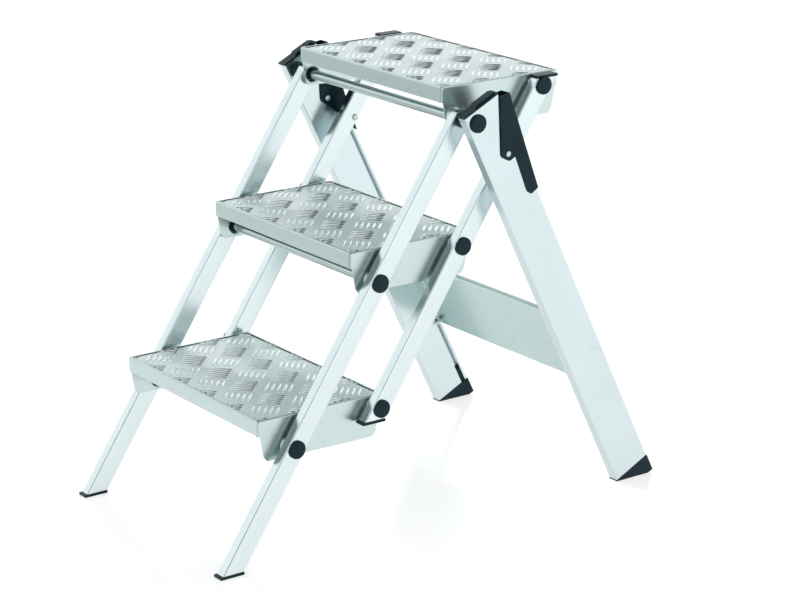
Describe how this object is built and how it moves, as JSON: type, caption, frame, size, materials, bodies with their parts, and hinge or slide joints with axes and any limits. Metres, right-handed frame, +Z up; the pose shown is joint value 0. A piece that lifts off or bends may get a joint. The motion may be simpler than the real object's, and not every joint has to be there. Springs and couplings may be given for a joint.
{
  "type": "step stool",
  "caption": "Folding aluminium step stool with chequer-plate treads on parallel stiles, wide rear legs tied by a crossbar, and black latch levers.",
  "frame": {"origin": "on the floor, in the middle of the stool's footprint", "axes": "+Z up, +Y the way the climber faces (towards the rear legs), +X the climber's right"},
  "size_m": [0.518, 0.8303, 0.6983],
  "materials": {
    "stile_aluminium": "bright anodised, fine brushing along the length",
    "tread_aluminium": "satin",
    "chequer_aluminium": "mill finish five-bar chequer plate",
    "steel": "bright, turned",
    "black_paint": "satin powder coat",
    "black_plastic": "fine moulded grain"
  },
  "bodies": {
    "front_frame": {"front_stile_right": "stile_aluminium", "front_stile_left": "stile_aluminium", "front_foot_right": "black_plastic", "front_foot_left": "black_plastic"},
    "rear_stiles": {"rear_stile_right": "stile_aluminium", "rear_stile_left": "stile_aluminium", "rear_stile_top_cap_right": "black_plastic", "rear_stile_top_cap_left": "black_plastic", "rear_stile_bottom_cap_right": "black_plastic", "rear_stile_bottom_cap_left": "black_plastic", "stop_stud_right": "steel", "stop_stud_left": "steel"},
    "rear_legs": {"rear_leg_right": "stile_aluminium", "rear_leg_left": "stile_aluminium", "leg_end_cap_right": "black_plastic", "leg_end_cap_left": "black_plastic", "rear_foot_right": "black_plastic", "rear_foot_left": "black_plastic", "crossbar": "tread_aluminium", "crossbar_upper_bolt_right": "steel", "crossbar_upper_bolt_left": "steel", "crossbar_lower_bolt_right": "steel", "crossbar_lower_bolt_left": "steel"},
    "latch_right": {"latch_right": "black_paint", "latch_rivet_right": "steel"},
    "latch_left": {"latch_left": "black_paint", "latch_rivet_left": "steel"},
    "bottom_tread": {"bottom_tread_tray": "tread_aluminium", "bottom_tread_plate": "chequer_aluminium", "bottom_front_axle": "steel", "bottom_rear_axle": "steel", "bottom_axle_bush_right": "black_plastic", "bottom_axle_bush_left": "black_plastic", "bottom_front_cap_right": "black_plastic", "bottom_front_cap_left": "black_plastic", "bottom_rear_cap_right": "black_plastic", "bottom_rear_cap_left": "black_plastic"},
    "middle_tread": {"middle_tread_tray": "tread_aluminium", "middle_tread_plate": "chequer_aluminium", "middle_front_axle": "steel", "middle_rear_axle": "steel", "middle_axle_bush_right": "black_plastic", "middle_axle_bush_left": "black_plastic", "middle_front_cap_right": "black_plastic", "middle_front_cap_left": "black_plastic", "middle_rear_cap_right": "black_plastic", "middle_rear_cap_left": "black_plastic"},
    "top_tread": {"top_tread_tray": "tread_aluminium", "top_tread_plate": "chequer_aluminium", "top_front_axle": "steel", "top_rear_axle": "steel", "top_axle_bush_right": "black_plastic", "top_axle_bush_left": "black_plastic", "top_front_cap_right": "black_plastic", "top_front_cap_left": "black_plastic", "top_rear_cap_right": "black_plastic", "top_rear_cap_left": "black_plastic", "leg_spacer_right": "black_plastic", "leg_spacer_left": "black_plastic"}
  },
  "joints": [
    {"name": "fold", "type": "hinge", "parent": "front_frame", "child": "top_tread", "pos_m": [0, 0.037, 0.6495], "axis": [-1, 0, 0], "range_deg": [0, 122]},
    {"name": "middle_tread_hinge", "type": "hinge", "parent": "front_frame", "child": "middle_tread", "pos_m": [0, -0.119, 0.4145], "axis": [-1, 0, 0], "range_deg": [0, 122]},
    {"name": "bottom_tread_hinge", "type": "hinge", "parent": "front_frame", "child": "bottom_tread", "pos_m": [0, -0.275, 0.1795], "axis": [-1, 0, 0], "range_deg": [0, 122]},
    {"name": "rear_stile_hinge", "type": "hinge", "parent": "top_tread", "child": "rear_stiles", "pos_m": [0, 0.195, 0.6823], "axis": [-1, 0, 0], "range_deg": [-122, 0]},
    {"name": "rear_leg_hinge", "type": "hinge", "parent": "front_frame", "child": "rear_legs", "pos_m": [0, 0.037, 0.6495], "axis": [-1, 0, 0], "range_deg": [0, 60]},
    {"name": "latch_right_pivot", "type": "hinge", "parent": "rear_legs", "child": "latch_right", "pos_m": [0.2455, 0.09506, 0.59431], "axis": [1, 0, 0], "range_deg": [0, 10]},
    {"name": "latch_left_pivot", "type": "hinge", "parent": "rear_legs", "child": "latch_left", "pos_m": [-0.2455, 0.09506, 0.59431], "axis": [1, 0, 0], "range_deg": [0, 10]}
  ],
  "couplings": [
    {"joint": "middle_tread_hinge", "follows": "fold", "ratio": 1},
    {"joint": "bottom_tread_hinge", "follows": "fold", "ratio": 1},
    {"joint": "rear_stile_hinge", "follows": "fold", "ratio": -1},
    {"joint": "rear_leg_hinge", "follows": "fold", "ratio": 0.4845}
  ]
}
